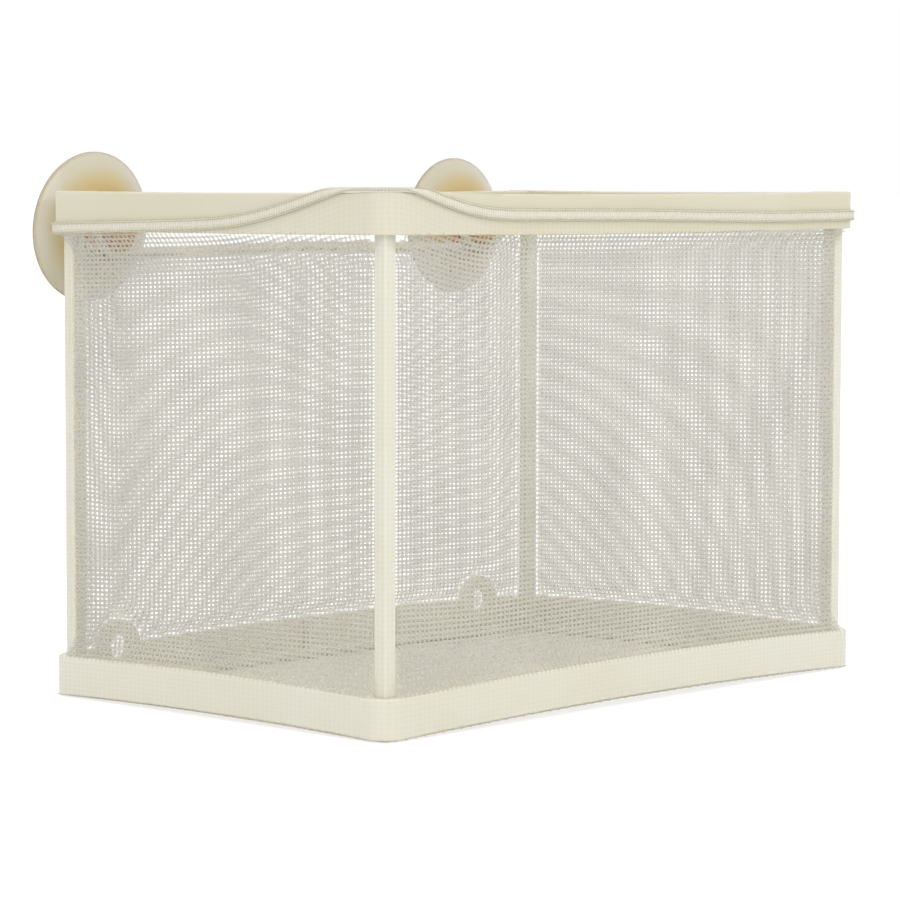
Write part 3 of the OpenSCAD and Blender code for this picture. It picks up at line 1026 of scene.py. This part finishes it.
@dataclass
class SuctionCup:
    """Soft cup turned as one piece: dished cup, collar, neck and rounded head, in mm."""

    finish: Material
    node: str
    body: str
    side: int
    shape: BoxShape
    cup_r: float = 18.0
    depth: float = 8.3
    crown: float = 1.8
    crown_t: float = 2.5
    rim_edge: float = 0.7
    collar_r: float = 4.2
    head_r: float = 5.2
    head_h: float = 4.1
    head_edge: float = 0.8
    neck_r: float = 3.05
    gap: float = 0.15
    eye_t: float = 2.2
    eye_proud: float = 0.1
    edge: float = 0.35
    lip: tuple[float, float] = (0.12, 0.08)
    fillet: float = 0.2
    dome_fillet: float = 0.22
    chamfer: tuple[float, float] = (0.1, 0.05)
    collar_edge: float = 0.3
    dome_inset: float = 0.5
    lean: float = 0.0
    spread: float = 1.0
    amber_reach: float = 13.8
    steps: int = 96
    weld: float = 0.002

    @staticmethod
    def arc(
        half_chord: float, rise: float, start: float, end: float, base: float, count: int = 18
    ) -> list[tuple[float, float]]:
        """Points on a dished arc.

        Args:
            half_chord: radius at which the arc has risen by rise.
            rise: that rise.
            start: first radius.
            end: last radius.
            base: height of the arc at radius zero.
            count: number of points.

        Returns:
            (radius, height) pairs.
        """
        r = (half_chord**2 + rise**2) / (2 * rise)
        return [(x, base + r - math.sqrt(r * r - x * x)) for x in np.linspace(start, end, count)]

    def profile(self) -> list[tuple[float, float]]:
        """Outline of half a section, from the head's tip round to the middle of the hollow."""
        head_r, neck_r, collar_r, cup_r = self.head_r, self.neck_r, self.collar_r, self.cup_r
        inner = -self.eye_t - self.gap
        head = self.arc(
            head_r, self.head_h - self.head_edge, 0, head_r, inner - self.head_h, count=12)
        dome = self.arc(
            cup_r, self.depth - self.rim_edge - self.crown, collar_r + self.dome_inset, cup_r,
            self.crown)
        hollow_r = cup_r - self.rim_edge
        hollow_base = self.crown + self.crown_t
        hollow = self.arc(hollow_r, self.depth - hollow_base, hollow_r, 0, hollow_base)
        return [
            *head, (head_r, inner - self.edge), (head_r - self.edge, inner),
            (neck_r + self.fillet, inner), (neck_r, inner + self.fillet),
            (neck_r, self.gap - self.chamfer[1]), (neck_r + self.chamfer[0], self.gap),
            (collar_r - self.collar_edge, self.gap), (collar_r, self.gap + self.collar_edge),
            (collar_r, self.crown), (collar_r + self.fillet, self.crown + self.dome_fillet),
            *dome, (cup_r, self.depth - self.edge),
            (cup_r - self.lip[0], self.depth - self.lip[1]), (cup_r - self.edge, self.depth),
            *hollow,
        ]

    def flex(self, points: np.ndarray) -> np.ndarray:
        """Bend the cup up on its soft neck and spread its lip; the neck and head stay.

        Args:
            points: n by 3 array of points about the eye's middle, in metres, Y along the neck.

        Returns:
            Their new places.
        """
        free = np.clip(points[:, 1] / (self.crown * MM), 0, 1)
        grow = 1 + (self.spread - 1) * free
        angle = math.radians(self.lean) * free
        x, y, z = points[:, 0] * grow, points[:, 1], points[:, 2] * grow
        return np.stack(
            [x, y * np.cos(angle) - z * np.sin(angle), y * np.sin(angle) + z * np.cos(angle)], -1)

    def build(self) -> None:
        """Turn the cup and put it in its eye."""
        bm = bmesh.new()
        verts = [bm.verts.new((x * MM, 0, y * MM)) for x, y in self.profile()]
        edges = [bm.edges.new(pair) for pair in zip(verts, verts[1:])]
        bmesh.ops.spin(
            bm, geom=verts + edges, cent=(0, 0, 0), axis=(0, 0, 1), angle=2 * math.pi,
            steps=self.steps, use_merge=True, use_duplicate=False)
        bmesh.ops.remove_doubles(bm, verts=bm.verts, dist=self.weld * MM)
        bmesh.ops.recalc_face_normals(bm, faces=bm.faces)
        thick = bm.verts.layers.float.new("thickness")
        for vert in bm.verts:
            radius = math.hypot(vert.co.x, vert.co.y) / MM
            vert[thick] = 1 - min(max((radius - self.collar_r) / self.amber_reach, 0), 1)
        bmesh.ops.rotate(bm, verts=bm.verts, matrix=Matrix.Rotation(-math.pi / 2, 3, "X"))
        warp(bm, self.flex)
        s = self.shape
        centre = Vector((self.side * s.eye_x, s.half_d + self.eye_proud, s.top - s.eye_z))
        bmesh.ops.translate(bm, verts=bm.verts, vec=centre * MM)
        piece = mesh_object(f"vinyl_{self.node}", bm, self.finish)
        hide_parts(self.node)
        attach(piece, self.body)
        LOG.info("turned %s", piece.name)


# ---- frames and posts -----------------------------------------------------------------------


@dataclass
class Skeleton:
    """The moulded frames and their posts, which keep their solids and get a finish."""

    upper: Material
    lower: Material
    posts: tuple[str, ...] = (
        "front_left_post", "front_right_post", "back_left_post", "back_right_post")

    def dress(self) -> None:
        """Give each moulding its material."""
        finishes = {"top_frame": self.upper, "bottom_frame": self.lower}
        finishes.update({post: self.lower for post in self.posts})
        for node, finish in finishes.items():
            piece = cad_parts[node]
            piece.data.materials.clear()
            piece.data.materials.append(finish)
            LOG.info("dressed %s", node)


# ---- studio ---------------------------------------------------------------------------------


def shows_background(tree: NodeTree) -> NodeSocket:
    """Whether a ray shows the background: straight, in a reflection or through glass."""
    path = add_node(tree, "ShaderNodeLightPath").outputs
    straight = add_node(
        tree, "ShaderNodeMath", links={0: path["Is Camera Ray"], 1: path["Is Glossy Ray"]},
        operation="MAXIMUM")
    return add_node(
        tree, "ShaderNodeMath",
        links={0: straight.outputs[0], 1: path["Is Transmission Ray"]},
        operation="MAXIMUM").outputs[0]


@dataclass(frozen=True)
class PaleTable(Finish):
    """Pale matt floor that is seen as white but keeps the box's shadow."""

    name: str = "matt_white_table"
    plain: str = "f6f6f6"
    shown: str = "b8b8b8"
    glow: float = 0.74

    def surface(self, tree: NodeTree) -> Node:
        """Plain where it lights the box; darker, with a glow, where it is seen."""
        plain = add_node(tree, "ShaderNodeBsdfDiffuse", {"Color": srgb(self.plain)})
        shown = add_node(tree, "ShaderNodeBsdfDiffuse", {"Color": srgb(self.shown)})
        glow = add_node(tree, "ShaderNodeEmission", {"Strength": self.glow})
        bright = add_node(
            tree, "ShaderNodeAddShader", links={0: shown.outputs[0], 1: glow.outputs[0]})
        return add_node(
            tree, "ShaderNodeMixShader",
            links={"Fac": shows_background(tree), 1: plain.outputs[0], 2: bright.outputs[0]})


@dataclass(frozen=True)
class Softbox:
    """Square soft lamp: its place and side in mm and its power in watts."""

    name: str
    place: tuple[float, float, float]
    side: float
    power: float

    def build(self, target: Vector) -> None:
        """Hang the lamp and face it to a point, in metres."""
        data = bpy.data.lights.new(self.name, "AREA")
        data.size = self.side * MM
        data.energy = self.power
        lamp = bpy.data.objects.new(self.name, data)
        lamp.location = Vector(self.place) * MM
        lamp.rotation_euler = (target - lamp.location).to_track_quat("-Z", "Y").to_euler()
        bpy.context.scene.collection.objects.link(lamp)


@dataclass
class Studio:
    """Pale floor, soft lights and the camera at the photograph's place, in mm."""

    eye: tuple[float, float, float] = (-636.4, -580.9, 122.6)
    yaw: float = 0.7439
    pitch: float = -0.0762
    roll: float = 0.0018
    lens: float = 141.19
    sensor: float = 36.0
    floor_half: float = 20000.0
    world_light: float = 0.84
    box_middle: tuple[float, float, float] = (0, 0, 60)
    lamps: tuple[Softbox, ...] = (
        Softbox("key_softbox", (-500, -900, 900), 900, 3.8),
        Softbox("fill_softbox", (-1100, 200, 500), 900, 0.2),
        Softbox("top_softbox", (200, 200, 1200), 1000, 1.0))

    def build(self) -> None:
        """Build everything that isn't the object."""
        self.camera()
        self.floor()
        self.world()
        for lamp in self.lamps:
            lamp.build(Vector(self.box_middle) * MM)

    def camera(self) -> None:
        """Camera with the photograph's place, lens and tilt."""
        ahead = Vector((math.cos(self.yaw) * math.cos(self.pitch),
                        math.sin(self.yaw) * math.cos(self.pitch), math.sin(self.pitch)))
        right = Vector((math.sin(self.yaw), -math.cos(self.yaw), 0))
        up = right.cross(ahead)
        tilt_right = right * math.cos(self.roll) + up * math.sin(self.roll)
        tilt_up = up * math.cos(self.roll) - right * math.sin(self.roll)
        turn = Matrix((tilt_right, tilt_up, -ahead)).transposed().to_4x4()
        data = bpy.data.cameras.new("camera")
        data.lens = self.lens
        data.sensor_width = self.sensor
        data.clip_end = 50
        camera = bpy.data.objects.new("camera", data)
        camera.matrix_world = Matrix.Translation(Vector(self.eye) * MM) @ turn
        bpy.context.scene.collection.objects.link(camera)
        bpy.context.scene.camera = camera

    def floor(self) -> None:
        """The table that the box stands on."""
        bm = bmesh.new()
        bmesh.ops.create_grid(bm, x_segments=1, y_segments=1, size=self.floor_half * MM)
        mesh_object("floor", bm, PaleTable().build(), smooth=False)

    def world(self) -> None:
        """White surroundings, seen as white and lighting at a plain level."""
        world = bpy.data.worlds.new("studio")
        bpy.context.scene.world = world
        world.use_nodes = True
        tree = world.node_tree
        tree.nodes.clear()
        strength = add_node(
            tree, "ShaderNodeMapRange", {"To Min": self.world_light, "To Max": 1.0},
            {"Value": shows_background(tree)})
        glow = add_node(
            tree, "ShaderNodeBackground", {"Color": (1, 1, 1, 1)},
            {"Strength": strength.outputs["Result"]})
        output = add_node(tree, "ShaderNodeOutputWorld")
        tree.links.new(glow.outputs[0], output.inputs["Surface"])


def main() -> None:
    """Build the studio, dress the frame and make the soft pieces."""
    logging.basicConfig(level=logging.INFO, format="%(name)s: %(message)s")
    bpy.context.scene.view_settings.view_transform = "Standard"
    # A ray passes two faces of each see-through thread, and it meets many on its way.
    bpy.context.scene.cycles.transparent_max_bounces = 64
    Studio().build()
    shape = BoxShape.from_frame()
    surface = BagSurface(shape, HemLine(shape))
    lower = MouldedStyrene()
    # The top frame gets a darker copy of the same styrene: painted shade, so it renders no
    # brighter than the bottom frame.
    upper = MouldedStyrene(name="moulded_styrene_painted_shade", pale="e1dcc8", yellowed="dbd5ba")
    Skeleton(upper.build(), lower.build()).dress()
    thread = NylonThread().build()
    # A lighter copy of the thread for the floor panel: painted light that lifts the shade it lies
    # in under the box.
    lightened_floor_thread = NylonThread(name="nylon_net_thread_floor_painted_light", pale="faf6ea", grey="f3efe2").build()
    NetBag(surface, thread, lightened_floor_thread, Weave()).build()
    Hem(surface, thread, ElasticCore().build(), SewingThread().build(), Weave(width=0.3)).build()
    vinyl = SoftVinyl().build()
    for side, name, lean, spread in ((-1, "left", 5.0, 1.01), (1, "right", 0.0, 1.0)):
        SuctionCup(vinyl, f"{name}_suction_cup", f"{name}_cup", side, shape,
                   lean=lean, spread=spread).build()


if __name__ == "__main__":
    main()
